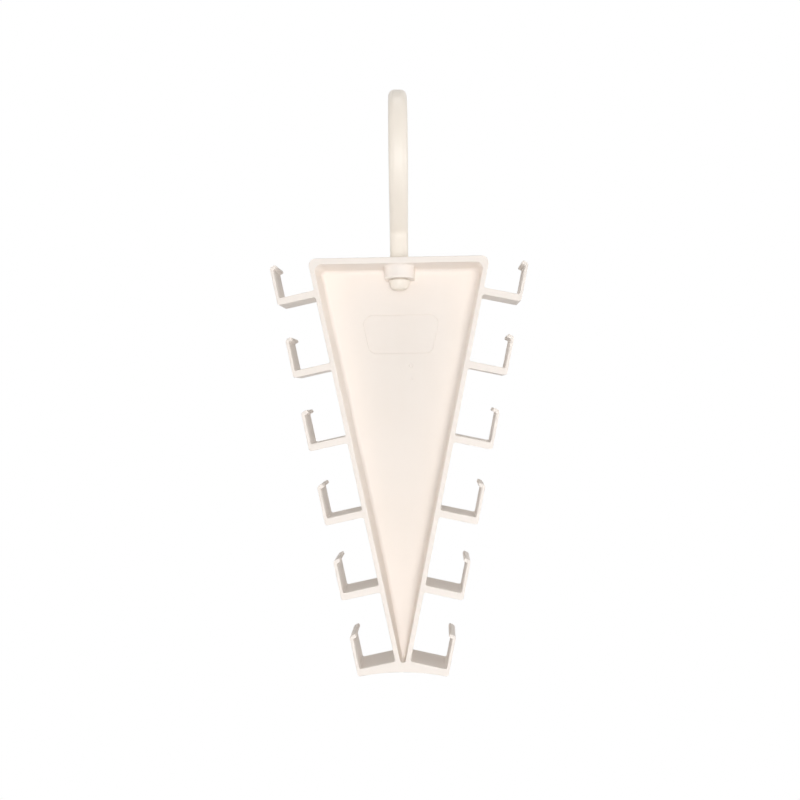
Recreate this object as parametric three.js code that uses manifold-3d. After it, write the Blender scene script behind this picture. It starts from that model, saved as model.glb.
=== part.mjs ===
// Multi-hook hanger: a wedge-shaped plastic tray with a row of garment hooks down each side, hung from a
// swivel hook that snaps through a boss under the tray's top wall. Two mouldings, one turning joint.
//
// Millimetres, +Z up. The origin is the point inside the crown of the hook that sits on a rail, Z is the
// swivel axis, X runs across the tray, and the open side of the tray faces -Y.

import * as THREE from "three";
import { mergeVertices } from "three/addons/utils/BufferGeometryUtils.js";
import Module from "manifold-3d";

// Swivel hook
const RAIL_RADIUS = 25.6; // inside of the crown
const BAR_WIDTH = 9.4; // across the plane of the hook
const BAR_THICKNESS = 8; // in the plane of the hook
const BAR_CORNER = 3.2;
const NECK_TILT = 49; // degrees of the straight neck from upright
const NECK_BEND = 9.3; // reverse bend between the neck and the shank
const SHANK_LENGTH = 9.8;
const SHANK_CHAMFER = 0.8;
const TIP_ANGLE = 190; // degrees round the crown from its front
const HOOK_TURN = 3.2; // degrees from square to the tray
const PIVOT_RADIUS = 3.7;
const HEAD_RADIUS = 5.5; // snap head under the boss
const HEAD_END_RADIUS = 3.4;
const HEAD_HEIGHT = 4.8;
const HEAD_LIP = 0.6;
const SLOT_WIDTH = 2.6; // lets the two halves of the head close up
const SLOT_LENGTH = 13;
const RUNNING_GAP = 0.3;
const END_GAP = 0.6;

// Tray
const SIDE_ANGLE = 12; // degrees of each side from upright
const TOP_WIDTH = 93.1; // between the side lines at the top edge
const DEPTH = 18.5; // rim to flat face
const RIM_TO_AXIS = 9.5;
const SIDE_WALL = 2.4;
const TOP_WALL = 3.2;
const FLOOR = 1.8;
const OUTER_CORNER = 3.6;
const POCKET_CORNER = 3.4;
const POCKET_END = 1.45; // radius of the lower end of the pocket
const POCKET_FILLET = 2.5; // round between the walls and the floor
const DRAFT = 1.5; // degrees on the inside walls
const EDGE = 0.35; // broken edges
const FACE_STEP = 1; // the flat face stands proud of the hooks
const FACE_INSET = 0.5;
const FACE_ROUND = 0.8;
const FACE_END = 4; // radius of the lower end of the flat face
const BOSS_RADIUS = 7.8;
const BOSS_HEIGHT = 6.9;
const BOSS_CHAMFER = 0.6;

// Label recess in the floor
const LABEL_TOP = 27.7; // below the top edge
const LABEL_HEIGHT = 21.6;
const LABEL_WIDTH = 38.9;
const LABEL_FOOT = 26.8;
const LABEL_CORNER = 3;
const LABEL_DEPTH = 0.3;

// Garment hooks
const ROWS = 6;
const FIRST_ROW = 16.3; // top edge to the first arm, at the wall
const ROW_PITCH = 37;
const ARM_LENGTH = 18.2; // wall to prong
const ARM_THICKNESS = 3.5;
const PRONG_THICKNESS = 1.5;
const PRONG_HEIGHT = 14.9; // arm to the underside of the lip
const LIP_REACH = 2.1;
const LIP_THICKNESS = 1.8;
const LIP_TILT = 15; // degrees
const ARCH_RISE = 2.2; // of the web that joins the lowest pair

// Corner radii round one garment hook
const ROOT_TOP = 0.6;
const THROAT = 0.9;
const LIP_ROOT = 0.5;
const LIP_EDGE = 0.6;
const PRONG_SHOULDER = 1.7;
const HEEL = 1.3;
const ROOT_FOOT = 1.5;

const PLASTIC = { color: 0xf7eee4, roughness: 0.45, metalness: 0 };
const ARC_STEPS = 3;
const ARCH_POINTS = 9;
const BEND_STEPS = 5;
const CROWN_STEPS = 30;
const ROUND_STEPS = 28;

const lineRadius = RAIL_RADIUS + BAR_THICKNESS / 2;
const crownHeight = -RAIL_RADIUS;
const neckTilt = THREE.MathUtils.degToRad(NECK_TILT);
const neckReach = lineRadius * Math.cos(neckTilt) - NECK_BEND * (1 - Math.cos(neckTilt));
const neckDrop = neckReach / Math.tan(neckTilt);
const bendHeight = crownHeight - neckDrop - (lineRadius + NECK_BEND) * Math.sin(neckTilt);
const shoulder = bendHeight - SHANK_LENGTH;
const trayTop = shoulder - END_GAP;
const rim = -RIM_TO_AXIS;
const face = rim + DEPTH;
const floorLevel = face - FLOOR;
const boss = trayTop - TOP_WALL - BOSS_HEIGHT;
const slope = Math.tan(THREE.MathUtils.degToRad(SIDE_ANGLE));
const outward = new THREE.Vector2(1, -slope).normalize();
const upward = new THREE.Vector2(slope, 1).normalize();

const wasm = await Module();
wasm.setup();

function solid(geometry) {
  const bare = geometry.clone();
  bare.deleteAttribute("normal");
  bare.deleteAttribute("uv");
  const merged = mergeVertices(bare, 1e-4);
  return new wasm.Manifold(
    new wasm.Mesh({
      numProp: 3,
      vertProperties: merged.attributes.position.array,
      triVerts: new Uint32Array(merged.index.array),
    }),
  );
}

function piece(name, body) {
  const mesh = body.getMesh();
  const geometry = new THREE.BufferGeometry();
  geometry.setAttribute("position", new THREE.BufferAttribute(mesh.vertProperties, 3));
  geometry.setIndex(new THREE.BufferAttribute(mesh.triVerts, 1));
  geometry.computeVertexNormals();
  const made = new THREE.Mesh(geometry, new THREE.MeshStandardMaterial(PLASTIC));
  made.name = name;
  return made;
}

// Points of a closed outline whose corners [x, z, radius] are rounded by arcs, or left sharp at radius 0.
function roundedOutline(corners) {
  return corners.flatMap(([x, z, radius], i) => {
    const at = new THREE.Vector2(x, z);
    if (radius === 0) return [at];
    const last = corners.at(i - 1);
    const next = corners[(i + 1) % corners.length];
    const back = new THREE.Vector2(last[0], last[1]).sub(at).normalize();
    const ahead = new THREE.Vector2(next[0], next[1]).sub(at).normalize();
    const half = back.angleTo(ahead) / 2;
    const start = at.clone().addScaledVector(back, radius / Math.tan(half));
    const bisector = back.clone().add(ahead).normalize();
    const centre = at.clone().addScaledVector(bisector, radius / Math.sin(half));
    const sweep = Math.sign(ahead.cross(back)) * (Math.PI - 2 * half);
    return spread(0, sweep, ARC_STEPS).map((angle) => start.clone().rotateAround(centre, angle));
  });
}

// Evenly spaced values, both ends included.
function spread(from, to, steps) {
  return Array.from({ length: steps + 1 }, (_, k) => from + ((to - from) * k) / steps);
}

// A flat outline (x, z) carried from one depth to another, with broken edges at both ends.
function prism(outline, front, back, edge) {
  const geometry = new THREE.ExtrudeGeometry(new THREE.Shape(outline), {
    depth: back - front - 2 * edge,
    bevelThickness: edge,
    bevelSize: edge,
    bevelOffset: -edge,
    bevelSegments: 1,
  });
  return geometry.rotateX(Math.PI / 2).translate(0, back - edge, 0);
}

// A closed skin over rings of equal count. Each ring is convex, and turns clockwise seen along the way.
function loft(rings) {
  const count = rings[0].length;
  const index = [];
  for (let i = 0; i < count; i++) {
    const j = (i + 1) % count;
    for (let r = 0; r + 1 < rings.length; r++) {
      const [a, b] = [r * count, (r + 1) * count];
      index.push(a + i, a + j, b + i, a + j, b + j, b + i);
    }
    const end = (rings.length - 1) * count;
    if (i > 0 && j > 0) index.push(0, j, i, end, end + i, end + j);
  }
  return new THREE.BufferGeometry().setFromPoints(rings.flat()).setIndex(index);
}

// The tray's wedge, moved in by an inset from its side lines and by another from its top edge.
function wedge(side, top, cornerRadius, endRadius) {
  const height = trayTop - top;
  const half = TOP_WIDTH / 2 - side / outward.x;
  const width = half - top * slope;
  return roundedOutline([
    [-width, height, cornerRadius],
    [width, height, cornerRadius],
    [0, trayTop - half / slope, endRadius],
  ]);
}

// Corners of one garment hook, from the wall above its arm round to the wall below it.
function garmentHook(row) {
  const depth = FIRST_ROW + row * ROW_PITCH;
  const root = new THREE.Vector2(TOP_WIDTH / 2 - depth * slope, trayTop - depth);
  const tilt = Math.tan(THREE.MathUtils.degToRad(LIP_TILT));
  const outer = ARM_LENGTH + PRONG_THICKNESS;
  const tip = ARM_LENGTH - LIP_REACH;
  const tipHeight = PRONG_HEIGHT + LIP_REACH * tilt;
  const lipTop = tipHeight + LIP_THICKNESS;
  const corners = [
    [0, 0, ROOT_TOP],
    [ARM_LENGTH, 0, THROAT],
    [ARM_LENGTH, PRONG_HEIGHT, LIP_ROOT],
    [tip, tipHeight, LIP_EDGE],
    [tip + LIP_THICKNESS * tilt, lipTop, LIP_EDGE],
    [outer, lipTop - (outer - tip - LIP_THICKNESS * tilt) * tilt, PRONG_SHOULDER],
    [outer, -ARM_THICKNESS, HEEL],
    [0, -ARM_THICKNESS, ROOT_FOOT],
  ];
  return corners.map(([along, up, radius]) => {
    const at = root.clone().addScaledVector(outward, along).addScaledVector(upward, up);
    return [at.x, at.y, radius];
  });
}

// One side of the outline, from the top corner down to the heel of the lowest hook.
function rightSide() {
  const hooks = Array.from({ length: ROWS }, (_, row) => garmentHook(row)).flat();
  return [[TOP_WIDTH / 2, trayTop, OUTER_CORNER], ...hooks.slice(0, -1)];
}

// The rim and all the hooks as one outline. The web under the lowest pair is a shallow arch.
function trayOutline() {
  const right = rightSide();
  const left = right.map(([x, z, radius]) => [-x, z, radius]).reverse();
  const [heelX, heelZ] = right.at(-1);
  const arch = Array.from({ length: ARCH_POINTS }, (_, k) => {
    const share = 1 - (2 * (k + 1)) / (ARCH_POINTS + 1);
    return [heelX * share, heelZ + ARCH_RISE * (1 - share ** 2), 0];
  });
  return roundedOutline([...right, ...arch, ...left]);
}

function pocket() {
  const drafted = Math.tan(THREE.MathUtils.degToRad(DRAFT)) * (floorLevel - POCKET_FILLET - rim);
  const levels = [
    [rim - EDGE, -2 * EDGE],
    [rim + EDGE, 0],
    [floorLevel - POCKET_FILLET, drafted],
  ];
  for (let k = 1; k <= ARC_STEPS; k++) {
    const angle = (k / ARC_STEPS) * (Math.PI / 2);
    const rise = POCKET_FILLET * (1 - Math.sin(angle));
    levels.push([floorLevel - rise, drafted + POCKET_FILLET * (1 - Math.cos(angle))]);
  }
  const rings = levels.map(([y, inset]) => {
    const corner = Math.max(POCKET_CORNER - inset, EDGE);
    const end = Math.max(POCKET_END - inset, EDGE / 2);
    const outline = wedge(SIDE_WALL + inset, TOP_WALL + inset, corner, end);
    return outline.map(({ x, y: z }) => new THREE.Vector3(x, y, z));
  });
  return loft(rings);
}

function labelRecess() {
  const top = trayTop - LABEL_TOP;
  const foot = top - LABEL_HEIGHT;
  const outline = roundedOutline([
    [-LABEL_WIDTH / 2, top, LABEL_CORNER],
    [LABEL_WIDTH / 2, top, LABEL_CORNER],
    [LABEL_FOOT / 2, foot, LABEL_CORNER],
    [-LABEL_FOOT / 2, foot, LABEL_CORNER],
  ]);
  return prism(outline, floorLevel - 1, floorLevel + LABEL_DEPTH, LABEL_DEPTH / 2);
}

// Round in front and straight back to the floor, so that it leaves the mould with the pocket.
function pivotBoss() {
  const profile = new THREE.Shape();
  profile.moveTo(-BOSS_RADIUS, -floorLevel - EDGE);
  profile.lineTo(BOSS_RADIUS, -floorLevel - EDGE);
  profile.lineTo(BOSS_RADIUS, 0);
  profile.absarc(0, 0, BOSS_RADIUS, 0, Math.PI, false);
  const geometry = new THREE.ExtrudeGeometry(profile, {
    depth: BOSS_HEIGHT,
    bevelThickness: BOSS_CHAMFER,
    bevelSize: BOSS_CHAMFER,
    bevelOffset: -BOSS_CHAMFER,
    bevelSegments: 1,
    curveSegments: ROUND_STEPS / 2,
  });
  return geometry.rotateX(Math.PI).translate(0, 0, boss + BOSS_HEIGHT + BOSS_CHAMFER);
}

function hangerBody() {
  const hooks = prism(trayOutline(), rim, face - FACE_STEP, EDGE);
  const plate = wedge(FACE_INSET, FACE_INSET, OUTER_CORNER - FACE_INSET, FACE_END);
  const bore = new THREE.CylinderGeometry(
    PIVOT_RADIUS + RUNNING_GAP,
    PIVOT_RADIUS + RUNNING_GAP,
    4 * (TOP_WALL + BOSS_HEIGHT),
    ROUND_STEPS,
  );
  return solid(hooks)
    .add(solid(prism(plate, floorLevel, face, FACE_ROUND)))
    .subtract(solid(pocket()))
    .add(solid(pivotBoss()))
    .subtract(solid(bore.rotateX(Math.PI / 2).translate(0, 0, trayTop)))
    .subtract(solid(labelRecess()));
}

// The bar: a rounded section carried up the shank, out along the neck and over the crown to a blunt tip.
function hookBar() {
  const section = roundedOutline([
    [-BAR_WIDTH / 2, BAR_THICKNESS / 2, BAR_CORNER],
    [BAR_WIDTH / 2, BAR_THICKNESS / 2, BAR_CORNER],
    [BAR_WIDTH / 2, -BAR_THICKNESS / 2, BAR_CORNER],
    [-BAR_WIDTH / 2, -BAR_THICKNESS / 2, BAR_CORNER],
  ]);
  const way = new THREE.Path()
    .moveTo(0, shoulder)
    .lineTo(0, bendHeight)
    .absarc(NECK_BEND, bendHeight, NECK_BEND, Math.PI, Math.PI - neckTilt, true)
    .lineTo(lineRadius * Math.cos(neckTilt), crownHeight - lineRadius * Math.sin(neckTilt))
    .absarc(0, crownHeight, lineRadius, -neckTilt, THREE.MathUtils.degToRad(TIP_ANGLE), false);
  const length = way.getLength();
  const bendEnd = SHANK_LENGTH + NECK_BEND * neckTilt;
  const neckEnd = bendEnd + neckReach / Math.sin(neckTilt);
  const tipRound = BAR_THICKNESS / 2;
  const stations = [
    [0, 1 - SHANK_CHAMFER / tipRound],
    [SHANK_CHAMFER, 1],
    ...spread(SHANK_LENGTH, bendEnd, BEND_STEPS).map((distance) => [distance, 1]),
    ...spread(neckEnd, length - tipRound, CROWN_STEPS).map((distance) => [distance, 1]),
  ];
  for (let k = 1; k <= ARC_STEPS; k++) {
    const angle = (k / (ARC_STEPS + 0.5)) * (Math.PI / 2);
    stations.push([length - tipRound * (1 - Math.sin(angle)), Math.cos(angle)]);
  }
  const rings = stations.map(([distance, scale]) => {
    const at = way.getPoint(distance / length);
    const along = way.getTangent(distance / length);
    return section.map(({ x, y }) => {
      const forward = at.x + along.y * y * scale;
      return new THREE.Vector3(x * scale, -forward, at.y - along.x * y * scale);
    });
  });
  return loft(rings);
}

// The turned end: a round neck through the boss and a bowl-shaped head that catches under it.
function pivotPin() {
  const headTop = boss - END_GAP;
  const headEnd = headTop - HEAD_HEIGHT;
  const nose = new THREE.QuadraticBezierCurve(
    new THREE.Vector2(HEAD_END_RADIUS, headEnd),
    new THREE.Vector2(HEAD_RADIUS - HEAD_LIP, headEnd + HEAD_LIP),
    new THREE.Vector2(HEAD_RADIUS, headTop - HEAD_LIP),
  );
  const profile = [
    new THREE.Vector2(0, headEnd),
    ...nose.getPoints(ARC_STEPS + 1),
    new THREE.Vector2(HEAD_RADIUS, headTop),
    new THREE.Vector2(PIVOT_RADIUS, headTop),
    new THREE.Vector2(PIVOT_RADIUS, shoulder + 2 * SHANK_CHAMFER),
    new THREE.Vector2(0, shoulder + 2 * SHANK_CHAMFER),
  ];
  const pin = solid(new THREE.LatheGeometry(profile, ROUND_STEPS).rotateX(Math.PI / 2));
  const slot = new THREE.BoxGeometry(4 * HEAD_RADIUS, SLOT_WIDTH, SLOT_LENGTH);
  return pin.subtract(solid(slot.translate(0, 0, headEnd + SLOT_LENGTH / 2 - EDGE)));
}

const hanger = new THREE.Group();
hanger.add(piece("hanger_body", hangerBody()));
const swivel = new THREE.Group();
swivel.rotation.z = THREE.MathUtils.degToRad(HOOK_TURN);
swivel.add(piece("swivel_hook", solid(hookBar()).add(pivotPin())));
hanger.add(swivel);

export default hanger;
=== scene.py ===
"""Looks of a multi-hook hanger: a tray moulded in one with its garment hooks, and the rail hook it hangs by.

Metres, +Z up, in the packed frame. The rail sits at the origin inside the crown of the hook, Z is the swivel
axis, X runs across the tray, and the open side of the tray faces -Y.
"""

from math import acos, atan2, ceil, copysign, cos, pi, radians, sin, tan
from typing import NamedTuple

import bmesh
import bpy
from bpy.props import FloatProperty, FloatVectorProperty, IntProperty, PointerProperty
from mathutils import Matrix, Vector


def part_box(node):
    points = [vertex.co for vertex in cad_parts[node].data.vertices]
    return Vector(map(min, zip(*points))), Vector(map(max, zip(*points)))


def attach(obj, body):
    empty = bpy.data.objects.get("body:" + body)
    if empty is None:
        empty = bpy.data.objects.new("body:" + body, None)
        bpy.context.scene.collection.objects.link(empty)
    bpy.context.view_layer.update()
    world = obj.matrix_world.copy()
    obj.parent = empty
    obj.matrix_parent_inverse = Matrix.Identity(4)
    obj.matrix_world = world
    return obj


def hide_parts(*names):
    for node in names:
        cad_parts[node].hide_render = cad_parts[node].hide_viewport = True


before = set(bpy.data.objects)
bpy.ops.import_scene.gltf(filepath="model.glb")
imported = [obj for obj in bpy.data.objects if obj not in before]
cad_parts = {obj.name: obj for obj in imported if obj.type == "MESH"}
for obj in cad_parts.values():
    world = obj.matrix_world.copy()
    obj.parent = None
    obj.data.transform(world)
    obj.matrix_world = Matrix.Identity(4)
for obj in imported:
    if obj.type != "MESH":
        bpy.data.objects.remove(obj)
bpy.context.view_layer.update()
TRAY_LOW, TRAY_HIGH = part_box("hanger_body")

bl_info = {
    "name": "Multi-hook hanger",
    "version": (1, 0, 0),
    "blender": (4, 5, 0),
    "location": "View3D > Sidebar > Hanger",
    "description": "Builds a tray with garment hooks, the rail hook that turns in it, and their stage",
    "category": "Add Mesh",
}

MM = 0.001
RIM = TRAY_LOW.y
FACE = TRAY_HIGH.y
TRAY_TOP = TRAY_HIGH.z

# Fineness of the meshes
ARC_STEP = radians(11)
EDGE_STEPS = 8
QUARTER_TURN = [pi / 2 * k / EDGE_STEPS for k in range(EDGE_STEPS + 1)]
ROUND_STEPS = 64
MARK_STEPS = 32
STATION_STEP = 0.8 * MM
ARCH_POINTS = 15
RAMP_STEPS = 16
RAMP_EASE = 1.5
SUPPORT = 0.12 * MM
SHARP_ANGLE = radians(14)

# How the hooks and the boss sink into the walls that carry them
ROOT_SINK = 0.08 * MM
ROOT_MARGIN = 0.2 * MM
FACE_SINK = 0.04 * MM
BURIED = 0.9 * MM
RUB_AT_ROOT = 0.4

# Texture of the plastic: scales of its noises, and how much each one does
NOISE_MIDDLE = 0.5
NOISE_DETAIL = 3.0
CLOUD_SCALE = 26.0
CLOUD_SHARE = 1.4
FLOW_SCALE = 180.0
FLOW_SHARE = 0.5
FLOW_STRETCH = (1, 1, 0.12)
SMUDGE_SCALE = 55.0
SMUDGE_SHARE = 0.16
GRAIN_SCALE = 2600.0
WAVE_SCALE = 70.0
RELIEF_STRENGTH = 0.35
RELIEF_HEIGHT = 0.06 * MM
PLASTIC_IOR = 1.5

# Heights of view between which the light from the sides gives way to that from above
SKY_LOW = 0.2
SKY_HIGH = 0.7

# Camera and lamps
SENSOR_WIDTH = 36.0
LAMP_PLACES = {
    "front": Vector((0.1, -1.3, -0.15)),
    "low_front": Vector((0.1, -1.2, -0.65)),
    "top": Vector((0.0, -0.05, 1.15)),
    "right": Vector((1.3, -0.25, -0.15)),
    "left": Vector((-1.3, -0.25, -0.15)),
    "back": Vector((0.0, 1.3, -0.15)),
}


def length(name, millimetres, description):
    """A length, written in millimetres."""
    return FloatProperty(
        name=name,
        description=description,
        default=millimetres * MM,
        subtype="DISTANCE",
        unit="LENGTH",
    )


def angle(name, degrees, description):
    """An angle, written in degrees."""
    return FloatProperty(
        name=name,
        description=description,
        default=radians(degrees),
        subtype="ANGLE",
        unit="ROTATION",
    )


def share(name, default, description):
    """A plain factor."""
    return FloatProperty(name=name, description=description, default=default, min=0, subtype="FACTOR")


def colour(name, default, description):
    """A linear colour."""
    return FloatVectorProperty(
        name=name, description=description, default=default, size=3, min=0, max=1, subtype="COLOR"
    )


def power(name, watts, description):
    """The power of a lamp."""
    return FloatProperty(name=name, description=description, default=watts, min=0, unit="POWER")


class TrayProps(bpy.types.PropertyGroup):
    """Sizes of the wedge-shaped tray."""

    side_angle: angle("Side angle", 12.0, "Lean of each side from upright")
    top_width: length("Top width", 93.1, "Between the side lines at the top edge")
    side_wall: length("Side wall", 2.4, "Thickness of the sides at the rim")
    top_wall: length("Top wall", 3.2, "Thickness of the top wall at the rim")
    floor: length("Floor", 1.8, "Thickness of the floor")
    outer_corner: length("Outer corner", 3.6, "Radius of the two top corners")
    rim_round: length("Rim round", 0.5, "Round on the outer edge of the rim")
    pocket_corner: length("Pocket corner", 3.4, "Radius of the pocket's top corners")
    pocket_end: length("Pocket end", 1.45, "Radius of the pocket's lower end")
    pocket_fillet: length("Pocket fillet", 2.0, "Round between the walls and the floor")
    pocket_edge: length("Pocket edge", 0.35, "Round on the inner edge of the rim")
    draft: angle("Draft", 2.5, "Lean of the inside walls")
    ramp_top: length("Ramp top", 160.5, "Where the floor starts to rise, below the top edge")
    ramp_end: share("Ramp end", 0.18, "Depth of the pocket at its point, as a part of its full depth")
    face_step: length("Face step", 1.0, "How far the flat back stands proud of the hooks")
    face_inset: length("Face inset", 0.5, "Ledge round the flat back")
    face_round: length("Face round", 0.8, "Round on the edge of the flat back")
    face_end: length("Face end", 4.0, "Radius of the lower end of the flat back")
    ledge_round: length("Ledge round", 0.3, "Round on the outer edge of the ledge")
    boss_radius: length("Boss radius", 7.8, "Outside of the boss that the rail hook turns in")
    boss_height: length("Boss height", 6.9, "Below the top wall")
    boss_round: length("Boss round", 0.8, "Round on the lower edge of the boss")
    boss_flare: length("Boss flare", 1.2, "Fillet between the boss and the top wall")
    bore_radius: length("Bore radius", 4.0, "Hole that the pin turns in")
    bore_mouth: length("Bore mouth", 0.3, "Chamfer at both ends of the bore")
    label_top: length("Label top", 27.9, "Label recess below the top edge")
    label_height: length("Label height", 20.3, "Height of the label recess")
    label_width: length("Label width", 41.6, "Width of the label recess at its top")
    label_foot: length("Label foot", 33.0, "Width of the label recess at its foot")
    label_corner: length("Label corner", 4.6, "Corner radius of the label recess")
    label_depth: length("Label depth", 0.3, "Depth of the label recess")
    label_line: length("Label line", 0.2, "Thin line round the label recess, in width and in depth below it")
    mark_radius: length("Mark radius", 0.9, "Ejector marks in the floor")
    mark_depth: length("Mark depth", 0.25, "Depth of the ejector marks")
    mark_side: length("Mark side", 5.2, "Ejector marks to the right of the middle")
    mark_first: length("First mark", 54.7, "First ejector mark below the top edge")
    mark_second: length("Second mark", 61.6, "Second ejector mark below the top edge")


class GarmentHookProps(bpy.types.PropertyGroup):
    """Sizes of the garment hooks down both sides."""

    rows: IntProperty(name="Rows", description="Hooks down each side", default=6, min=2)
    first_row: length("First row", 16.3, "Top edge to the first arm, at the wall")
    row_pitch: length("Row pitch", 37.0, "Height from one row to the next")
    arm_length: length("Arm length", 18.2, "Wall to prong")
    arm_thickness: length("Arm thickness", 3.5, "Height of the arm")
    prong_thickness: length("Prong thickness", 1.5, "Thickness of the upright prong")
    prong_height: length("Prong height", 14.9, "Arm to the underside of the lip")
    lip_reach: length("Lip reach", 2.1, "How far the lip turns in over the arm")
    lip_thickness: length("Lip thickness", 1.8, "Thickness of the lip")
    lip_tilt: angle("Lip tilt", 15.0, "Rise of the lip towards its edge")
    arch_rise: length("Arch rise", 2.2, "Rise of the web that joins the lowest pair")
    edge: length("Edge", 0.4, "Round on the front and back edges")
    root_top: length("Root top", 1.0, "Fillet between the wall and the top of the arm")
    throat: length("Throat", 0.9, "Fillet between the arm and the prong")
    lip_root: length("Lip root", 0.5, "Fillet under the lip")
    lip_edge: length("Lip edge", 0.6, "Round on the lip")
    shoulder: length("Shoulder", 1.7, "Round on the outside of the lip")
    heel: length("Heel", 1.3, "Round under the prong")
    root_foot: length("Root foot", 1.5, "Fillet between the wall and the underside of the arm")


class RailHookProps(bpy.types.PropertyGroup):
    """Sizes of the rail hook and the pin that it turns on."""

    rail_radius: length("Rail radius", 25.6, "Inside of the crown")
    bar_width: length("Bar width", 9.4, "Across the plane of the hook")
    bar_thickness: length("Bar thickness", 8.0, "In the plane of the hook")
    bar_corner: length("Bar corner", 3.2, "Round along the bar")
    neck_tilt: angle("Neck tilt", 49.0, "Lean of the straight neck from upright")
    neck_bend: length("Neck bend", 9.3, "Radius of the reverse bend between the neck and the shank")
    tip_angle: angle("Tip angle", 190.0, "Round the crown from its front to its tip")
    foot_round: length("Foot round", 0.8, "Round at the foot of the shank")
    end_gap: length("End gap", 0.6, "Shank to tray, and boss to snap head")
    turn: angle("Turn", 3.2, "How far the hook stands from square to the tray")
    pin_radius: length("Pin radius", 3.7, "Round pin in the boss")
    head_radius: length("Head radius", 5.5, "Widest part of the snap head")
    head_end: length("Head end", 3.4, "Radius of the nose of the snap head")
    head_height: length("Head height", 4.8, "Snap head from top to nose")
    head_lip: length("Head lip", 0.6, "Upright band round the snap head")
    slot_width: length("Slot width", 2.6, "Slot that lets the head close up")
    slot_length: length("Slot length", 13.0, "Slot from the nose upwards")


class FinishProps(bpy.types.PropertyGroup):
    """Colours and gloss of the two mouldings."""

    tray_colour: colour("Tray colour", (0.95, 0.887, 0.838), "Ivory of the tray")
    tray_shade: colour("Tray shade", (0.925, 0.857, 0.797), "Ivory of the tray where the pigment is thicker")
    tray_roughness: share("Tray roughness", 0.58, "Satin of the tray")
    tray_gloss: share("Tray gloss", 0.25, "Strength of the tray's reflections")
    tray_polish: share("Tray polish", 0.08, "How much smoother the arms are where garments rub")
    tray_grain: share("Tray grain", 0.5, "Fine grain of the tray")
    hook_colour: colour("Hook colour", (0.95, 0.885, 0.80), "Ivory of the rail hook")
    hook_shade: colour("Hook shade", (0.925, 0.85, 0.76), "Ivory of the hook where the pigment is thicker")
    hook_roughness: share("Hook roughness", 0.31, "Satin of the rail hook")
    hook_gloss: share("Hook gloss", 0.24, "Strength of the rail hook's reflections")
    hook_grain: share("Hook grain", 0.25, "Fine grain of the rail hook")


class StageProps(bpy.types.PropertyGroup):
    """Floor, light and camera."""

    floor_colour: colour("Floor colour", (0.65, 0.65, 0.65), "Pale floor under the hanger")
    floor_height: length("Floor height", -1200.0, "Height of the floor")
    floor_size: length("Floor size", 8000.0, "Side of the floor")
    floor_white: share("Floor white", 0.97, "How far the floor under the hanger is white to the camera")
    fade_start: length("Fade start", 250.0, "From here on the floor fades into the white background")
    fade_end: length("Fade end", 900.0, "From here on the floor is as white as the background")
    ambient: colour("Ambient", (0.42, 0.41, 0.392), "Light from all round")
    zenith: share("Zenith", 0.62, "Light from above, as a part of that from the sides")
    lamp_size: length("Lamp size", 500.0, "Side of the soft lamps")
    front_power: power("Front power", 5.55, "Lamp in front, behind the camera")
    low_front_power: power("Low front power", 4.4, "Lamp in front, under the camera")
    top_power: power("Top power", 2.4, "Lamp straight above")
    right_power: power("Right power", 4.7, "Lamp at the right side")
    left_power: power("Left power", 3.4, "Lamp at the left side")
    back_power: power("Back power", 8.0, "Lamp behind")
    aim_side: length("Aim side", 7.3, "Point of the rim that the camera looks at, right of the middle")
    aim_height: length("Aim height", -130.26, "Height of the point that the camera looks at")
    camera_distance: length("Camera distance", 362.1, "Camera to the rim")
    camera_turn: angle("Camera turn", 1.96, "To the right of square")
    camera_lift: angle("Camera lift", 2.7, "Up from level")
    camera_roll: angle("Camera roll", 0.715, "About the line of sight")
    lens: FloatProperty(name="Lens", description="On a 36 mm sensor", default=32.4, unit="CAMERA")
    shift_side: FloatProperty(name="Shift side", description="Lens shift of a cropped view", default=-0.0173)
    shift_up: FloatProperty(name="Shift up", description="Lens shift of a cropped view", default=-0.0541)


# Outlines

class Corner(NamedTuple):
    """A corner of an outline, with the rounds of the edges before and after it and the rub that it takes."""

    x: float
    z: float
    radius: float = 0.0
    edges: tuple = (0.0, 0.0)
    rub: float = 0.0


class OutlinePoint(NamedTuple):
    """A point of a rounded outline in (x, z), with its outward direction."""

    at: Vector
    out: Vector
    edge: float
    rub: float

    def moved(self, inset, y):
        """The point moved in by an inset, at a depth."""
        x, z = self.at - self.out * inset
        return Vector((x, y, z))


def rounded_outline(corners):
    """Points round a closed outline that turns left, with each corner an arc between two straight ends."""
    points = []
    for i, corner in enumerate(corners):
        last = corners[i - 1]
        following = corners[(i + 1) % len(corners)]
        at = Vector((corner.x, corner.z))
        arrive = (at - Vector((last.x, last.z))).normalized()
        leave = (Vector((following.x, following.z)) - at).normalized()
        turn = atan2(arrive.cross(leave), arrive.dot(leave))
        out = Vector((arrive.y, -arrive.x))
        edge, edge_after = corner.edges
        if corner.radius == 0:
            mean = Matrix.Rotation(turn / 2, 2) @ out
            points.append(OutlinePoint(at, mean / cos(turn / 2), edge, corner.rub))
            continue
        reach = corner.radius * tan(abs(turn) / 2)
        side = copysign(corner.radius, turn)
        centre = at - arrive * reach - out * side
        steps = ceil(abs(turn) / ARC_STEP)
        arc = []
        for k in range(steps + 1):
            facing = Matrix.Rotation(turn * k / steps, 2) @ out
            blend = edge + (edge_after - edge) * k / steps
            arc.append(OutlinePoint(centre + facing * side, facing, blend, corner.rub))
        points.append(arc[0]._replace(at=arc[0].at - arrive * SUPPORT))
        points.extend(arc)
        points.append(arc[-1]._replace(at=arc[-1].at + leave * SUPPORT))
    return points


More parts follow.
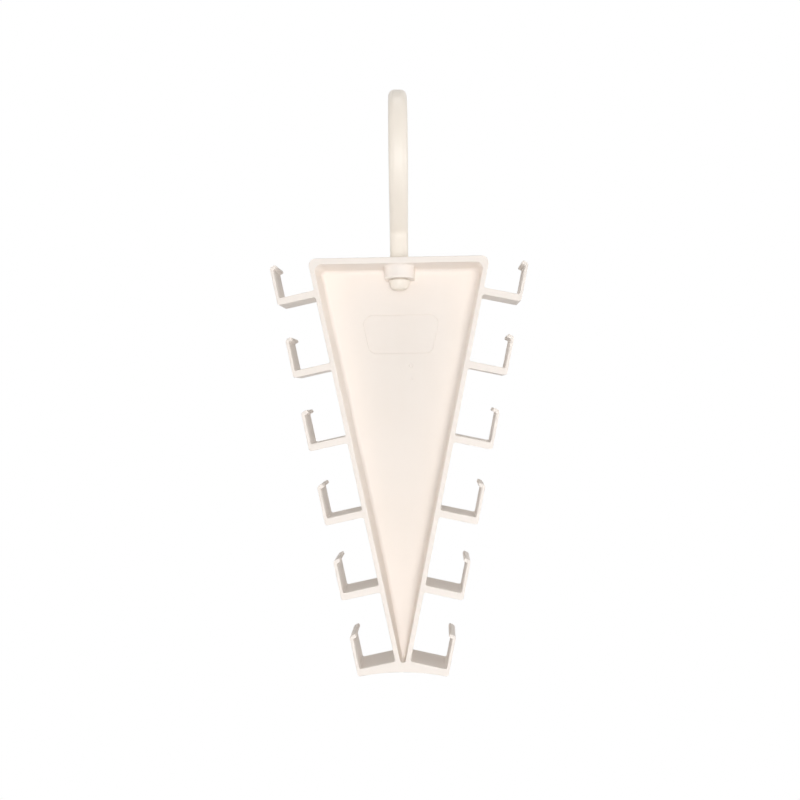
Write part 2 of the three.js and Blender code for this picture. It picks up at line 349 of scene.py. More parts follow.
def edge_rings(outline, face, into):
    """Rings over the rounded edge of a flat face, from the face to its wall, which runs along Y by into."""
    rings = [[point.moved(point.edge + SUPPORT, face) for point in outline]]
    for turn in QUARTER_TURN:
        inset = 1 - sin(turn)
        depth = into * (1 - cos(turn))
        rings.append([point.moved(point.edge * inset, face + point.edge * depth) for point in outline])
    rings.append([point.moved(0, face + into * (point.edge + SUPPORT)) for point in outline])
    return rings


def wedge(tray, side, top, corner, end):
    """The tray's wedge, moved in from its side lines and from its top edge."""
    slope = tan(tray.side_angle)
    half = tray.top_width / 2 - side / cos(tray.side_angle)
    width = half - top * slope
    return rounded_outline([
        Corner(0, TRAY_TOP - half / slope, end),
        Corner(width, TRAY_TOP - top, corner),
        Corner(-width, TRAY_TOP - top, corner),
    ])


def hook_corners(hook, rim_round, sink):
    """Corners of one garment hook as (along, up) from its root, from the wall below to the wall above."""
    tilt = tan(hook.lip_tilt)
    outer = hook.arm_length + hook.prong_thickness
    tip = hook.arm_length - hook.lip_reach
    tip_height = hook.prong_height + hook.lip_reach * tilt
    lip_top = tip_height + hook.lip_thickness
    lip_back = tip + hook.lip_thickness * tilt
    edges = (hook.edge, hook.edge)
    return [
        Corner(-sink, -hook.arm_thickness, hook.root_foot, (rim_round, hook.edge)),
        Corner(outer, -hook.arm_thickness, hook.heel, edges),
        Corner(outer, lip_top - (outer - lip_back) * tilt, hook.shoulder, edges),
        Corner(lip_back, lip_top, hook.lip_edge, edges),
        Corner(tip, tip_height, hook.lip_edge, edges),
        Corner(hook.arm_length, hook.prong_height, hook.lip_root, edges),
        Corner(hook.arm_length, 0, hook.throat, edges, rub=1),
        Corner(-sink, 0, hook.root_top, (hook.edge, rim_round), RUB_AT_ROOT),
    ]


def single_hook_outline(tray, hook):
    """One garment hook with its root plate, which is hidden in the wall."""
    corners = hook_corners(hook, tray.rim_round, ROOT_SINK)
    top = hook.root_top + ROOT_MARGIN
    foot = -hook.arm_thickness - hook.root_foot - ROOT_MARGIN
    plate = [(-ROOT_SINK, top), (-BURIED, top), (-BURIED, foot), (-ROOT_SINK, foot)]
    edges = (tray.rim_round, tray.rim_round)
    return rounded_outline(corners + [Corner(x, z, 0, edges) for x, z in plate])


def tray_outline(tray, hook):
    """The rim with the lowest pair of hooks and the arched web under them."""
    slope = tan(tray.side_angle)
    depth = hook.first_row + (hook.rows - 1) * hook.row_pitch
    root = Vector((tray.top_width / 2 - depth * slope, TRAY_TOP - depth))
    lean = Matrix.Rotation(-tray.side_angle, 2)
    right = []
    for corner in hook_corners(hook, tray.rim_round, 0)[1:]:
        x, z = root + lean @ Vector((corner.x, corner.z))
        right.append(corner._replace(x=x, z=z))
    rim_edges = (tray.rim_round, tray.rim_round)
    right.append(Corner(tray.top_width / 2, TRAY_TOP, tray.outer_corner, rim_edges))
    left = [corner._replace(x=-corner.x, edges=corner.edges[::-1]) for corner in reversed(right)]
    heel = right[0]
    arch = []
    for k in range(1, ARCH_POINTS + 1):
        across = 1 - 2 * k / (ARCH_POINTS + 1)
        height = heel.z + hook.arch_rise * (1 - across**2)
        arch.append(Corner(-heel.x * across, height, 0, heel.edges))
    return rounded_outline(right + left + arch)


def ramp_start(tray):
    """Height at which the floor of the pocket starts to rise."""
    return TRAY_TOP - tray.ramp_top


def pocket_depth(tray, z):
    """Depth of the pocket at a height, as a part of its full depth: it runs out towards the point."""
    half = tray.top_width / 2 - tray.side_wall / cos(tray.side_angle)
    point = TRAY_TOP - half / tan(tray.side_angle)
    start = ramp_start(tray)
    along = max(0, start - z) / (start - point)
    return 1 - (1 - tray.ramp_end) * along**RAMP_EASE


def ramped(tray, ring):
    """A ring of the pocket with points down its lower sides, each raised with the floor."""
    start = ramp_start(tray)
    low = [at for at in ring if at.z < start]
    high = [at for at in ring if at.z >= start]

    def side(foot, top):
        """Points up one side, from its foot to where the floor starts to rise."""
        reach = (start - foot.z) / (top.z - foot.z)
        return [foot.lerp(top, reach * k / RAMP_STEPS) for k in range(1, RAMP_STEPS + 1)]

    points = side(low[0], high[-1])[::-1] + low + side(low[-1], high[0]) + high
    return [Vector((at.x, RIM + (at.y - RIM) * pocket_depth(tray, at.z), at.z)) for at in points]


def pocket_rings(tray):
    """Rings of the pocket from the rim, down the drafted walls and round the fillet to the floor."""
    edge = tray.pocket_edge
    fillet = tray.pocket_fillet
    floor = FACE - tray.floor
    drafted = tan(tray.draft) * (floor - fillet - RIM - edge)
    levels = [(RIM, -edge - SUPPORT)]
    for turn in QUARTER_TURN:
        levels.append((RIM + edge * (1 - cos(turn)), -edge * (1 - sin(turn))))
    levels.append((RIM + edge + SUPPORT, 0))
    levels.append((floor - fillet - SUPPORT, drafted))
    for turn in QUARTER_TURN:
        levels.append((floor - fillet * (1 - sin(turn)), drafted + fillet * (1 - cos(turn))))
    levels.append((floor, drafted + fillet + SUPPORT))
    rings = []
    for y, inset in levels:
        corner = max(tray.pocket_corner - inset, edge)
        end = max(tray.pocket_end - inset, edge / 2)
        outline = wedge(tray, tray.side_wall + inset, tray.top_wall + inset, corner, end)
        rings.append(ramped(tray, [point.moved(0, y) for point in outline]))
    return rings


def label_rings(tray):
    """Rings of the bare label recess, from the floor of the tray over a thin line to its own floor."""
    floor = FACE - tray.floor
    edge = tray.label_depth / 2
    line = tray.label_line
    top = TRAY_TOP - tray.label_top
    foot = top - tray.label_height
    outline = rounded_outline([
        Corner(-tray.label_foot / 2, foot, tray.label_corner),
        Corner(tray.label_foot / 2, foot, tray.label_corner),
        Corner(tray.label_width / 2, top, tray.label_corner),
        Corner(-tray.label_width / 2, top, tray.label_corner),
    ])
    levels = [(0, -edge - SUPPORT)]
    for turn in QUARTER_TURN:
        levels.append((edge * (1 - cos(turn)), -edge * (1 - sin(turn))))
    recess = 2 * edge
    groove = recess + line
    levels += [(groove, line / 3), (groove, line * 2 / 3), (recess, line), (recess, line + SUPPORT)]
    return [[point.moved(inset, floor + depth) for point in outline] for depth, inset in levels]


def mark_rings(tray, below):
    """Rings of one shallow ejector mark in the floor."""
    floor = FACE - tray.floor
    rings = []
    for radius, depth in (
        (tray.mark_radius + tray.mark_depth, 0),
        (tray.mark_radius, tray.mark_depth),
        (tray.mark_radius - SUPPORT, tray.mark_depth),
    ):
        ring = []
        for k in range(MARK_STEPS):
            turn = 2 * pi * k / MARK_STEPS
            x = tray.mark_side + radius * cos(turn)
            ring.append(Vector((x, floor + depth, TRAY_TOP - below + radius * sin(turn))))
        rings.append(ring)
    return rings


def boss_foot(tray):
    """Height of the lower end of the boss."""
    return TRAY_TOP - tray.top_wall - tray.boss_height


def snap_head_top(tray, hook):
    """Height of the top of the snap head, just under the boss."""
    return boss_foot(tray) - hook.end_gap


# Meshes

class Skin:
    """A closed mesh that is made of lofts between rings, and of flat faces between their end rings."""

    def __init__(self):
        self.bm = bmesh.new()
        self.rub = self.bm.verts.layers.float.new("rub")

    def loft(self, rings, rub=None):
        """Quads between rings of equal count. Gives back each ring's vertices."""
        rows = []
        for ring in rings:
            row = [self.bm.verts.new(co) for co in ring]
            for vert, value in zip(row, rub or ()):
                vert[self.rub] = value
            rows.append(row)
        for near, far in zip(rows, rows[1:]):
            for i in range(len(near)):
                self.bm.faces.new((near[i - 1], near[i], far[i], far[i - 1]))
        return rows

    def fill(self, *loops):
        """One flat face inside the first loop and outside the others."""
        edges = []
        for loop in loops:
            for i in range(len(loop)):
                vert_pair = (loop[i - 1], loop[i])
                edges.append(self.bm.edges.get(vert_pair))
        bmesh.ops.triangle_fill(self.bm, use_beauty=True, edges=edges)

    def bridge(self, near, far):
        """Quads between two open rows."""
        for i in range(1, len(near)):
            self.bm.faces.new((near[i - 1], near[i], far[i], far[i - 1]))

    def close(self, rows):
        """Flat faces over both ends of a loft."""
        self.fill(rows[0])
        self.fill(rows[-1])

    def turned(self, profile):
        """A solid turned about the swivel axis from (radius, z) points."""
        turns = [2 * pi * k / ROUND_STEPS for k in range(ROUND_STEPS)]
        rings = []
        for radius, z in profile:
            rings.append([Vector((radius * cos(turn), radius * sin(turn), z)) for turn in turns])
        self.close(self.loft(rings))

    def mesh(self, name):
        """The finished mesh, smooth and with its faces outwards."""
        bmesh.ops.recalc_face_normals(self.bm, faces=self.bm.faces)
        for face in self.bm.faces:
            face.smooth = True
        made = bpy.data.meshes.new(name)
        self.bm.to_mesh(made)
        self.bm.free()
        return made


def placed(name, mesh):
    """A new object at the origin."""
    made = bpy.data.objects.new(name, mesh)
    bpy.context.scene.collection.objects.link(made)
    return made


def removed(*objects):
    """Take helper objects and their meshes away again."""
    for helper in objects:
        mesh = helper.data
        bpy.data.objects.remove(helper)
        bpy.data.meshes.remove(mesh)


def tray_shell(tray, hook):
    """The tray with its lowest hooks, before the other hooks and the boss are joined to it."""
    skin = Skin()
    outline = tray_outline(tray, hook)
    ledge = FACE - tray.face_step
    back = [point._replace(edge=tray.ledge_round) for point in outline]
    wall_rings = edge_rings(outline, RIM, 1) + edge_rings(back, ledge, -1)[::-1]
    wall = skin.loft(wall_rings, [point.rub for point in outline])
    inset = tray.face_inset
    plate_outline = [
        point._replace(edge=tray.face_round)
        for point in wedge(tray, inset, inset, tray.outer_corner - inset, tray.face_end)
    ]
    plate_foot = [point.moved(0, ledge) for point in plate_outline]
    plate = skin.loft([plate_foot] + edge_rings(plate_outline, FACE, -1)[::-1])
    pocket = skin.loft(pocket_rings(tray))
    label = skin.loft(label_rings(tray))
    marks = [skin.loft(mark_rings(tray, below)) for below in (tray.mark_first, tray.mark_second)]
    skin.fill(wall[0], pocket[0])
    skin.fill(wall[-1], plate[0])
    skin.fill(plate[-1])
    ramp = [vert for vert in pocket[-1] if vert.co.z < ramp_start(tray) + SUPPORT]
    flat = pocket[-1][len(ramp):]
    skin.bridge(ramp[:RAMP_STEPS + 1], ramp[:-RAMP_STEPS - 2:-1])
    skin.fill(ramp[RAMP_STEPS:-RAMP_STEPS])
    skin.fill([ramp[-1], *flat, ramp[0]], label[0], *(mark[0] for mark in marks))
    for recess in (label, *marks):
        skin.fill(recess[-1])
    return skin.mesh("tray_shell")


def single_hook(tray, hook):
    """One garment hook at its own root, with its arm along X."""
    skin = Skin()
    outline = single_hook_outline(tray, hook)
    back = FACE - tray.face_step - FACE_SINK
    rings = edge_rings(outline, RIM + FACE_SINK, 1) + edge_rings(outline, back, -1)[::-1]
    skin.close(skin.loft(rings, [point.rub for point in outline]))
    return skin.mesh("garment_hook")


def boss_solid(tray):
    """The boss under the top wall: round in front and straight back to the floor, flared at the wall."""
    skin = Skin()
    wall = TRAY_TOP - tray.top_wall
    foot = boss_foot(tray)
    flare = tray.boss_flare
    first = acos(1 - ROOT_SINK / flare)
    levels = [(flare * (1 - sin(first)), wall + BURIED)]
    for k in range(EDGE_STEPS + 1):
        turn = first + (pi / 2 - first) * k / EDGE_STEPS
        levels.append((flare * (1 - sin(turn)), wall - flare * (1 - cos(turn))))
    edge = tray.boss_round
    levels.append((0, foot + edge + SUPPORT))
    for turn in QUARTER_TURN:
        levels.append((-edge * (1 - cos(turn)), foot + edge * (1 - sin(turn))))
    levels.append((-edge - SUPPORT, foot))
    back = FACE - tray.floor + BURIED
    rings = []
    for offset, z in levels:
        radius = tray.boss_radius + offset
        ring = [Vector((radius, back, z))]
        for k in range(ROUND_STEPS // 2 + 1):
            turn = 2 * pi * k / ROUND_STEPS
            ring.append(Vector((radius * cos(turn), -radius * sin(turn), z)))
        ring.append(Vector((-radius, back, z)))
        rings.append(ring)
    skin.close(skin.loft(rings))
    return skin.mesh("boss")


def bore_cutter(tray):
    """What the bore takes out of the boss and the top wall, with a chamfer at both ends."""
    skin = Skin()
    foot = boss_foot(tray)
    mouth = tray.bore_mouth
    wide = tray.bore_radius + 2 * mouth
    skin.turned([
        (wide, foot - mouth),
        (tray.bore_radius, foot + mouth),
        (tray.bore_radius, TRAY_TOP - mouth),
        (wide, TRAY_TOP + mouth),
    ])
    return skin.mesh("bore")


def bar_stations(hook):
    """Points along the middle of the bar from foot to tip, each with the size of the section there."""
    crown = -hook.rail_radius
    line_radius = hook.rail_radius + hook.bar_thickness / 2
    tilt = hook.neck_tilt
    reach = line_radius * cos(tilt) - hook.neck_bend * (1 - cos(tilt))
    bend = crown - reach / tan(tilt) - (line_radius + hook.neck_bend) * sin(tilt)
    foot = TRAY_TOP + hook.end_gap
    shank = bend - foot
    bend_end = shank + hook.neck_bend * tilt
    neck_end = bend_end + reach / sin(tilt)
    total = neck_end + line_radius * (tilt + hook.tip_angle)

    def middle(distance):
        """The point of the middle line at a distance from its foot."""
        if distance < shank:
            return Vector((0, 0, foot + distance))
        if distance < neck_end:
            turn = min((distance - shank) / hook.neck_bend, tilt)
            straight = max(distance - bend_end, 0)
            forward = hook.neck_bend * (1 - cos(turn)) + straight * sin(tilt)
            return Vector((0, -forward, bend + hook.neck_bend * sin(turn) + straight * cos(tilt)))
        turn = (distance - neck_end) / line_radius - tilt
        return Vector((0, -line_radius * cos(turn), crown + line_radius * sin(turn)))

    half = hook.bar_thickness / 2
    stations = []
    for turn in QUARTER_TURN:
        stations.append((hook.foot_round * (1 - cos(turn)), 1 - hook.foot_round / half * (1 - sin(turn))))
    straight = total - half - hook.foot_round
    count = ceil(straight / STATION_STEP)
    for k in range(1, count + 1):
        stations.append((hook.foot_round + straight * k / count, 1))
    for k in range(1, 2 * EDGE_STEPS):
        turn = pi / 2 * k / (2 * EDGE_STEPS)
        stations.append((total - half * (1 - sin(turn)), cos(turn)))
    return [(middle(distance), scale) for distance, scale in stations]


def bar_line(hook):
    """The middle line of the bar as a chain of edges that carries the section's size."""
    stations = bar_stations(hook)
    mesh = bpy.data.meshes.new("bar_line")
    links = [(i, i + 1) for i in range(len(stations) - 1)]
    mesh.from_pydata([at for at, _ in stations], links, [])
    size = mesh.attributes.new("section_size", "FLOAT", "POINT")
    size.data.foreach_set("value", [scale for _, scale in stations])
    return mesh


def pin_solid(hook, tray):
    """The turned end: a round pin through the boss and a bowl-shaped head that catches under it."""
    skin = Skin()
    head_top = snap_head_top(tray, hook)
    nose = head_top - hook.head_height
    lip = hook.head_lip
    start = Vector((hook.head_end, nose))
    bulge = Vector((hook.head_radius - lip, nose + lip))
    end = Vector((hook.head_radius, head_top - lip))
    profile = [(hook.head_end - lip, nose)]
    for k in range(2 * EDGE_STEPS + 1):
        along = k / (2 * EDGE_STEPS)
        point = start * (1 - along) ** 2 + bulge * 2 * along * (1 - along) + end * along**2
        profile.append(tuple(point))
    edge = lip / 3
    profile += [
        (hook.head_radius, head_top - edge),
        (hook.head_radius - edge, head_top),
        (hook.pin_radius, head_top),
        (hook.pin_radius, TRAY_TOP + hook.end_gap + 2 * hook.foot_round),
    ]
    skin.turned(profile)
    return skin.mesh("pin")


def slot_cutter(hook, tray):
    """What the slot takes out of the snap head and the pin."""
    nose = snap_head_top(tray, hook) - hook.head_height
    size = (4 * hook.head_radius, hook.slot_width, 2 * hook.slot_length)
    bm = bmesh.new()
    bmesh.ops.create_cube(bm, matrix=Matrix.Translation((0, 0, nose)) @ Matrix.Diagonal((*size, 1)))
    mesh = bpy.data.meshes.new("slot")
    bm.to_mesh(mesh)
    bm.free()
    return mesh


# Node trees

class Value:
    """A socket in an expression. Operators add the Math nodes that work it out."""

    def __init__(self, nodes, socket):
        self.nodes = nodes
        self.socket = socket

    def of(self, name):
        """Another output of the same node."""
        return Value(self.nodes, self.nodes.find(self.socket.node.outputs, name))

    def math(self, operation, first, second=0.0):
        """A Math node on two values."""
        return self.nodes.add("ShaderNodeMath", {"operation": operation}, {0: first, 1: second})

    def __add__(self, other):
        return self.math("ADD", self, other)

    __radd__ = __add__

    def __sub__(self, other):
        return self.math("SUBTRACT", self, other)

    def __rsub__(self, other):
        return self.math("SUBTRACT", other, self)

    def __mul__(self, other):
        return self.math("MULTIPLY", self, other)

    __rmul__ = __mul__


class Nodes:
    """Adds nodes to a tree: settings first, then the values or links of the sockets."""

    def __init__(self, tree):
        self.tree = tree

    @staticmethod
    def find(sockets, key):
        """A socket by its place or by its name."""
        if isinstance(key, int):
            return sockets[key]
        return next(socket for socket in sockets if socket.name == key and socket.enabled)

    def add(self, kind, settings=None, sockets=None):
        """A new node's first output in use."""
        node = self.tree.nodes.new(kind)
        for name, value in (settings or {}).items():
            setattr(node, name, value)
        for key, value in (sockets or {}).items():
            socket = self.find(node.inputs, key)
            if isinstance(value, (Value, list)):
                for source in value if isinstance(value, list) else [value]:
                    self.tree.links.new(source.socket, socket)
            else:
                socket.default_value = value
        return Value(self, next((out for out in node.outputs if out.enabled), None))


def geometry_tree(name, sizes):
    """A new geometry tree with a Geometry input and named inputs, and its group input node."""
    tree = bpy.data.node_groups.new(name, "GeometryNodeTree")
    tree.interface.new_socket("Geometry", in_out="OUTPUT", socket_type="NodeSocketGeometry")
    for label, kind in {"Geometry": "Geometry", **sizes, "Material": "Material"}.items():
        tree.interface.new_socket(label, in_out="INPUT", socket_type=f"NodeSocket{kind}")
    nodes = Nodes(tree)
    return tree, nodes, nodes.add("NodeGroupInput")


def end_tree(nodes, group, geometry):
    """Close a tree: instances made real, then the material."""
    real = nodes.add("GeometryNodeRealizeInstances", sockets={"Geometry": geometry})
    dressed = nodes.add(
        "GeometryNodeSetMaterial", sockets={"Geometry": real, "Material": group.of("Material")}
    )
    nodes.add("NodeGroupOutput", sockets={"Geometry": dressed})


def hook_rows_tree():
    """Rows of one hook down the right side, and the same turned round for the left side."""
    tree, nodes, group = geometry_tree(
        "Garment hook rows",
        {
            "Rows": "Int",
            "First Root": "Vector",
            "Row Step": "Vector",
            "Side Angle": "Float",
            "Middle": "Float",
        },
    )
    roots = nodes.add(
        "GeometryNodeMeshLine",
        {"mode": "OFFSET", "count_mode": "TOTAL"},
        {
            "Count": group.of("Rows"),
            "Start Location": group.of("First Root"),
            "Offset": group.of("Row Step"),
        },
    )
    lean = nodes.add("ShaderNodeCombineXYZ", sockets={"Y": group.of("Side Angle")})
    right = nodes.add(
        "GeometryNodeInstanceOnPoints",
        sockets={"Points": roots, "Instance": group.of("Geometry"), "Rotation": lean},
    )
    across = nodes.add("ShaderNodeCombineXYZ", sockets={"Y": 2 * group.of("Middle")})
    left = nodes.add(
        "GeometryNodeTransform",
        sockets={"Geometry": right, "Translation": across, "Rotation": (0, 0, pi)},
    )
    both = nodes.add("GeometryNodeJoinGeometry", sockets={"Geometry": [right, left]})
    end_tree(nodes, group, both)
    return tree


def swept_bar_tree():
    """A rounded section carried along a line of edges, at the size that the line gives it."""
    tree, nodes, group = geometry_tree(
        "Swept bar", {"Width": "Float", "Thickness": "Float", "Corner": "Float", "Corner Points": "Int"}
    )
    line = nodes.add("GeometryNodeMeshToCurve", sockets={"Mesh": group.of("Geometry")})
    upright = nodes.add(
        "GeometryNodeSetCurveNormal", {"mode": "FREE"}, {"Curve": line, "Normal": (1, 0, 0)}
    )
    square = nodes.add(
        "GeometryNodeCurvePrimitiveQuadrilateral",
        sockets={"Width": group.of("Width"), "Height": group.of("Thickness")},
    )
    section = nodes.add(
        "GeometryNodeFilletCurve",
        {"mode": "POLY"},
        {"Curve": square, "Count": group.of("Corner Points"), "Radius": group.of("Corner")},
    )
    size = nodes.add("GeometryNodeInputNamedAttribute", {"data_type": "FLOAT"}, {"Name": "section_size"})
    bar = nodes.add(
        "GeometryNodeCurveToMesh",
        sockets={"Curve": upright, "Profile Curve": section, "Scale": size, "Fill Caps": True},
    )
    smooth = nodes.add("GeometryNodeSetShadeSmooth", sockets={"Geometry": bar})
    end_tree(nodes, group, smooth)
    return tree


def one_moulding_tree():
    """One moulding from its main body, what is moulded on and what is cored out."""
    tree, nodes, group = geometry_tree("One moulding", {"Moulded On": "Object", "Cored Out": "Object"})
    added = nodes.add("GeometryNodeObjectInfo", sockets={"Object": group.of("Moulded On")}).of("Geometry")
    taken = nodes.add("GeometryNodeObjectInfo", sockets={"Object": group.of("Cored Out")}).of("Geometry")
    whole = nodes.add(
        "GeometryNodeMeshBoolean",
        {"operation": "UNION", "solver": "MANIFOLD"},
        {"Mesh": [group.of("Geometry"), added]},
    )
    cored = nodes.add(
        "GeometryNodeMeshBoolean",
        {"operation": "DIFFERENCE", "solver": "MANIFOLD"},
        {"Mesh 1": whole, "Mesh 2": taken},
    )
    end_tree(nodes, group, cored)
    return tree


def grown(made, tree, values):
    """Run a tree on an object and keep the result as its plain mesh."""
    modifier = made.modifiers.new(tree.name, "NODES")
    modifier.node_group = tree
    for item in tree.interface.items_tree:
        if item.in_out == "INPUT" and item.name in values:
            modifier[item.identifier] = values[item.name]
    depsgraph = bpy.context.evaluated_depsgraph_get()
    mesh = bpy.data.meshes.new_from_object(made.evaluated_get(depsgraph), depsgraph=depsgraph)
    made.modifiers.remove(modifier)
    before = made.data
    made.data = mesh
    bpy.data.meshes.remove(before)
    if not mesh.polygons:
        raise RuntimeError(f"{tree.name} made no faces for {made.name}")
    return made


def joined(*objects):
    """Move the meshes of several objects into the first one."""
    bm = bmesh.new()
    for part in objects:
        bm.from_mesh(part.data)
    bm.to_mesh(objects[0].data)
    bm.free()
    removed(*objects[1:])
    return objects[0]


def kept_edges(made):
    """Shade a piece smooth up to its real edges."""
    made.data.name = made.name
    made.data.set_sharp_from_angle(angle=SHARP_ANGLE)


# Materials

def ivory_plastic(name, tone, shade, roughness, gloss, grain, polish=0.0):
    """Moulded ivory plastic: clouded pigment, flow lines down the piece, smudged satin and a fine grain."""
    material = bpy.data.materials.new(name)
    material.use_nodes = True
    material.node_tree.nodes.clear()
    nodes = Nodes(material.node_tree)
    place = nodes.add("ShaderNodeTexCoord").of("Object")

    def noise(scale, stretch=(1, 1, 1)):
        """A noise on the piece's own coordinates."""
        drawn = nodes.add("ShaderNodeMapping", sockets={"Vector": place, "Scale": stretch})
        return nodes.add(
            "ShaderNodeTexNoise", sockets={"Vector": drawn, "Scale": scale, "Detail": NOISE_DETAIL}
        )

    clouds = noise(CLOUD_SCALE) - NOISE_MIDDLE
    flow = noise(FLOW_SCALE, FLOW_STRETCH) - NOISE_MIDDLE
    smudges = noise(SMUDGE_SCALE) - NOISE_MIDDLE
    fine = noise(GRAIN_SCALE)
    waves = noise(WAVE_SCALE)
    rub = nodes.add("ShaderNodeAttribute", {"attribute_name": "rub"}).of("Fac")

    pigment = NOISE_MIDDLE + clouds * CLOUD_SHARE + flow * FLOW_SHARE
    ivory = nodes.add(
        "ShaderNodeMix",
        {"data_type": "RGBA"},
        {"Factor": pigment, "A": (*tone, 1), "B": (*shade, 1)},
    )
    satin = roughness + smudges * SMUDGE_SHARE - rub * polish
    relief = nodes.add(
        "ShaderNodeBump",
        sockets={"Height": fine * grain + waves, "Strength": RELIEF_STRENGTH, "Distance": RELIEF_HEIGHT},
    )
    surface = nodes.add(
        "ShaderNodeBsdfPrincipled",
        sockets={
            "Base Color": ivory,
            "Roughness": satin,
            "Normal": relief,
            "IOR": PLASTIC_IOR,
            "Specular IOR Level": gloss,
        },
    )
    nodes.add("ShaderNodeOutputMaterial", sockets={"Surface": surface})
    return material


def eased(nodes, value, span, ends):
    """A smooth step between two ends while a value crosses a span."""
    return nodes.add(
        "ShaderNodeMapRange",
        {"interpolation_type": "SMOOTHSTEP"},
        {"Value": value, "From Min": span[0], "From Max": span[1], "To Min": ends[0], "To Max": ends[1]},
    )


def pale_floor(stage):
    """A floor that is white to the camera and in reflections, and still keeps a soft shadow."""
    material = bpy.data.materials.new("pale_floor")
    material.use_nodes = True
    material.node_tree.nodes.clear()
    nodes = Nodes(material.node_tree)
    matt = nodes.add("ShaderNodeBsdfDiffuse", sockets={"Color": (*stage.floor_colour, 1)})
    white = nodes.add("ShaderNodeEmission", sockets={"Color": (1, 1, 1, 1), "Strength": 1.0})
    place = nodes.add("ShaderNodeTexCoord").of("Object")
    flat = nodes.add("ShaderNodeVectorMath", {"operation": "MULTIPLY"}, {0: place, 1: (1, 1, 0)})
    away = nodes.add("ShaderNodeVectorMath", {"operation": "LENGTH"}, {0: flat}).of("Value")
    far = eased(nodes, away, (stage.fade_start, stage.fade_end), (stage.floor_white, 1))
    surface = nodes.add("ShaderNodeMixShader", sockets={0: seen_rays(nodes) * far, 1: matt, 2: white})
    nodes.add("ShaderNodeOutputMaterial", sockets={"Surface": surface})
    return material


def seen_rays(nodes):
    """1 for rays that show the background: those of the camera, of gloss and of glass."""
    path = nodes.add("ShaderNodeLightPath")
    direct = path.math("MAXIMUM", path.of("Is Camera Ray"), path.of("Is Glossy Ray"))
    return path.math("MAXIMUM", direct, path.of("Is Transmission Ray"))


def studio_world(stage):
    """White to the camera, and a plain soft light from all round."""
    world = bpy.data.worlds.new("studio")
    world.use_nodes = True
    world.node_tree.nodes.clear()
    nodes = Nodes(world.node_tree)
    seen = seen_rays(nodes)
    height = nodes.add("ShaderNodeSeparateXYZ", sockets={0: nodes.add("ShaderNodeTexCoord")}).of("Z")
    sky = eased(nodes, height, (SKY_LOW, SKY_HIGH), (1, stage.zenith))
    tone = nodes.add(
        "ShaderNodeMix",
        {"data_type": "RGBA"},
        {"Factor": seen, "A": (*stage.ambient, 1), "B": (1, 1, 1, 1)},
    )
    strength = seen + (1 - seen) * sky
    light = nodes.add("ShaderNodeBackground", sockets={"Color": tone, "Strength": strength})
    nodes.add("ShaderNodeOutputWorld", sockets={"Surface": light})
    return world


def soft_lamp(name, at, aim, size, watts):
    """A square soft lamp that faces a point and isn't seen itself, nor in gloss when it stands behind."""
    data = bpy.data.lights.new(name, "AREA")
    data.size = size
    data.energy = watts
    lamp = placed(name, data)
    lamp.location = at
    lamp.rotation_euler = (at - aim).to_track_quat("Z", "Y").to_euler()
    lamp.visible_camera = False
    lamp.visible_glossy = at.y < aim.y
    return lamp


# Operators

class HANGER_OT_tray(bpy.types.Operator):
    """Build the tray moulding with its garment hooks"""

    bl_idname = "hanger.tray"
    bl_label = "Tray moulding"

    def execute(self, context):
        tray = context.scene.hanger_tray
        hook = context.scene.hanger_garment_hooks
        finish = context.scene.hanger_finish
        ivory = ivory_plastic(
            "ivory_plastic",
            finish.tray_colour,
            finish.tray_shade,
            finish.tray_roughness,
            finish.tray_gloss,
            finish.tray_grain,
            finish.tray_polish,
        )
        slope = tan(tray.side_angle)
        root = Vector((tray.top_width / 2 - hook.first_row * slope, 0, TRAY_TOP - hook.first_row))
        hooks = grown(placed("garment_hooks", single_hook(tray, hook)), hook_rows_tree(), {
            "Rows": hook.rows - 1,
            "First Root": root,
            "Row Step": Vector((-slope, 0, -1)) * hook.row_pitch,
            "Side Angle": tray.side_angle,
            "Middle": (RIM + FACE - tray.face_step) / 2,
            "Material": ivory,
        })
        moulded_on = joined(hooks, placed("boss", boss_solid(tray)))
        cored_out = placed("bore", bore_cutter(tray))
        moulding = grown(placed("tray_moulding", tray_shell(tray, hook)), one_moulding_tree(), {
            "Moulded On": moulded_on,
            "Cored Out": cored_out,
            "Material": ivory,
        })
        removed(moulded_on, cored_out)
        kept_edges(moulding)
        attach(moulding, "tray")
        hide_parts("hanger_body")
        return {"FINISHED"}


class HANGER_OT_rail_hook(bpy.types.Operator):
    """Build the rail hook with its pin and snap head"""

    bl_idname = "hanger.rail_hook"
    bl_label = "Rail hook moulding"

    def execute(self, context):
        hook = context.scene.hanger_rail_hook
        tray = context.scene.hanger_tray
        finish = context.scene.hanger_finish
        ivory = ivory_plastic(
            "ivory_hook_plastic",
            finish.hook_colour,
            finish.hook_shade,
            finish.hook_roughness,
            finish.hook_gloss,
            finish.hook_grain,
        )
        moulding = grown(placed("rail_hook_moulding", bar_line(hook)), swept_bar_tree(), {
            "Width": hook.bar_width,
            "Thickness": hook.bar_thickness,
            "Corner": hook.bar_corner,
            "Corner Points": EDGE_STEPS,
            "Material": ivory,
        })
        pin = placed("pin", pin_solid(hook, tray))
        slot = placed("slot", slot_cutter(hook, tray))
        grown(moulding, one_moulding_tree(), {"Moulded On": pin, "Cored Out": slot, "Material": ivory})
        removed(pin, slot)
        moulding.data.transform(Matrix.Rotation(hook.turn, 4, "Z"))
        kept_edges(moulding)
        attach(moulding, "rail_hook")
        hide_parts("swivel_hook")
        return {"FINISHED"}


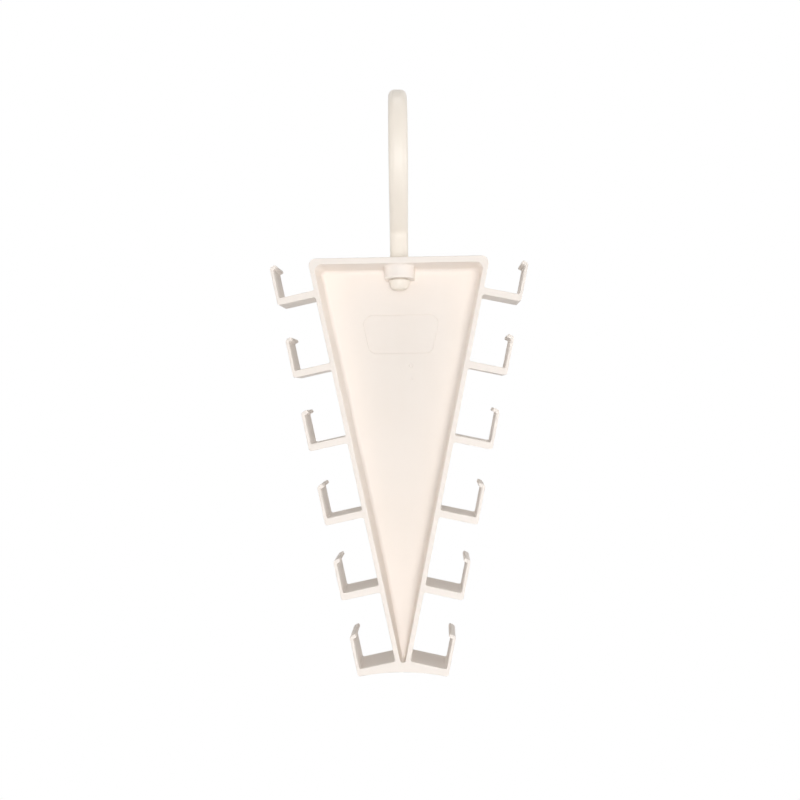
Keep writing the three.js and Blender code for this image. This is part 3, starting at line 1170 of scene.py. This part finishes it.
class HANGER_OT_stage(bpy.types.Operator):
    """Set the floor, the light and the camera"""

    bl_idname = "hanger.stage"
    bl_label = "Stage"

    def execute(self, context):
        scene = context.scene
        stage = scene.hanger_stage
        aim = Vector((stage.aim_side, RIM, stage.aim_height))
        bm = bmesh.new()
        bmesh.ops.create_grid(
            bm, size=stage.floor_size / 2, matrix=Matrix.Translation((0, 0, stage.floor_height))
        )
        mesh = bpy.data.meshes.new("floor")
        bm.to_mesh(mesh)
        bm.free()
        floor = placed("floor", mesh)
        floor.data.materials.append(pale_floor(stage))
        scene.world = studio_world(stage)
        for name, at in LAMP_PLACES.items():
            soft_lamp(name, at, aim, stage.lamp_size, getattr(stage, f"{name}_power"))
        lens = bpy.data.cameras.new("camera")
        lens.lens = stage.lens
        lens.shift_x = stage.shift_side
        lens.shift_y = stage.shift_up
        lens.sensor_width = SENSOR_WIDTH
        lens.sensor_fit = "HORIZONTAL"
        camera = placed("camera", lens)
        facing = (
            Matrix.Rotation(stage.camera_turn, 4, "Z")
            @ Matrix.Rotation(stage.camera_lift, 4, "X")
            @ Matrix.Rotation(stage.camera_roll, 4, "Y")
            @ Matrix.Rotation(pi / 2, 4, "X")
        )
        away = Matrix.Translation((0, 0, stage.camera_distance))
        camera.matrix_world = Matrix.Translation(aim) @ facing @ away
        scene.camera = camera
        scene.view_settings.view_transform = "Standard"
        return {"FINISHED"}


GROUPS = {
    "hanger_tray": TrayProps,
    "hanger_garment_hooks": GarmentHookProps,
    "hanger_rail_hook": RailHookProps,
    "hanger_finish": FinishProps,
    "hanger_stage": StageProps,
}
OPERATORS = (HANGER_OT_tray, HANGER_OT_rail_hook, HANGER_OT_stage)


class HANGER_PT_sidebar(bpy.types.Panel):
    """The hanger's pieces, with their sizes and colours"""

    bl_idname = "HANGER_PT_sidebar"
    bl_label = "Multi-hook hanger"
    bl_space_type = "VIEW_3D"
    bl_region_type = "UI"
    bl_category = "Hanger"

    def draw(self, context):
        for operator in OPERATORS:
            self.layout.operator(operator.bl_idname)
        for name, group in GROUPS.items():
            box = self.layout.box()
            box.label(text=group.__doc__)
            for prop in group.__annotations__:
                box.prop(getattr(context.scene, name), prop)


CLASSES = (*GROUPS.values(), *OPERATORS, HANGER_PT_sidebar)


def register():
    for cls in CLASSES:
        bpy.utils.register_class(cls)
    for name, group in GROUPS.items():
        setattr(bpy.types.Scene, name, PointerProperty(type=group))


def unregister():
    for name in GROUPS:
        delattr(bpy.types.Scene, name)
    for cls in reversed(CLASSES):
        bpy.utils.unregister_class(cls)


def main():
    register()
    bpy.ops.hanger.tray()
    bpy.ops.hanger.rail_hook()
    bpy.ops.hanger.stage()


if __name__ == "__main__":
    main()
